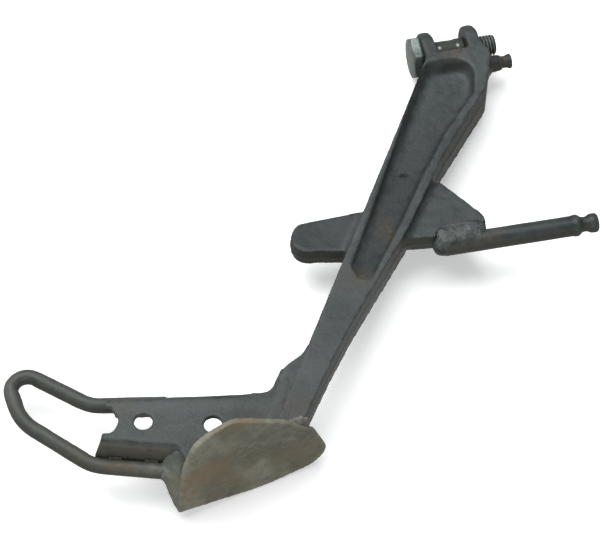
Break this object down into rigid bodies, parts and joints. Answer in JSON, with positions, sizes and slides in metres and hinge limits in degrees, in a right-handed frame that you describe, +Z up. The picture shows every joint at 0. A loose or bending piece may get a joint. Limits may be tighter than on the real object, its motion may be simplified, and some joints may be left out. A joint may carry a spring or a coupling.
{
  "type": "motorcycle side stand",
  "caption": "Forged side stand leg with a clevis and shoulder bolt, a cross-arm with a long spring pin, a pressed tang, a sole plate and a bent toe loop.",
  "frame": {"origin": "on the pivot bolt's axis, between the two clevis ears", "axes": "+X along the pivot bolt, from its head to its thread; +Y roughly from the foot to the pivot; +Z up from the surface that the stand lies on, pocket face up. The leg's own plane is tipped 5 degrees about X so that the ears and the sole's edge touch that surface."},
  "size_m": [0.3222, 0.2572, 0.0685],
  "materials": {
    "forged_paint": "worn dark slate paint on a forged skin, rust where it has rubbed through",
    "tang_paint": "worn slate blue paint, scuffed",
    "loop_paint": "dark paint worn to brown along the lower run",
    "worn_sole": "bare steel, olive brown with rust patches and scrapes",
    "zinc_steel": "dulled zinc plating",
    "weld_metal": "rippled weld bead, part painted"
  },
  "bodies": {
    "pivot": {"pivot_bolt": "zinc_steel"},
    "stand": {"foot_sole": "worn_sole", "leg_forging": "forged_paint", "long_spring_pin": "forged_paint", "sole_gusset": "worn_sole", "tang_plate": "tang_paint", "toe_loop": "loop_paint", "upper_spring_post": "forged_paint", "weld_gusset_sole": "weld_metal", "weld_leg_sole_back": "weld_metal", "weld_leg_sole_face": "weld_metal", "weld_leg_tang_back": "weld_metal", "weld_leg_tang_face": "weld_metal", "weld_loop_lower_foot": "weld_metal", "weld_loop_lower_toe": "weld_metal", "weld_loop_upper_foot": "weld_metal", "weld_loop_upper_toe": "weld_metal", "weld_pin_back": "weld_metal", "weld_pin_face": "weld_metal", "weld_tang_sole": "weld_metal"}
  },
  "joints": [
    {"name": "stand_swing", "type": "hinge", "parent": "pivot", "child": "stand", "pos_m": [0, 0, 0], "axis": [-1, 0, 0], "range_deg": [0, 100]}
  ]
}
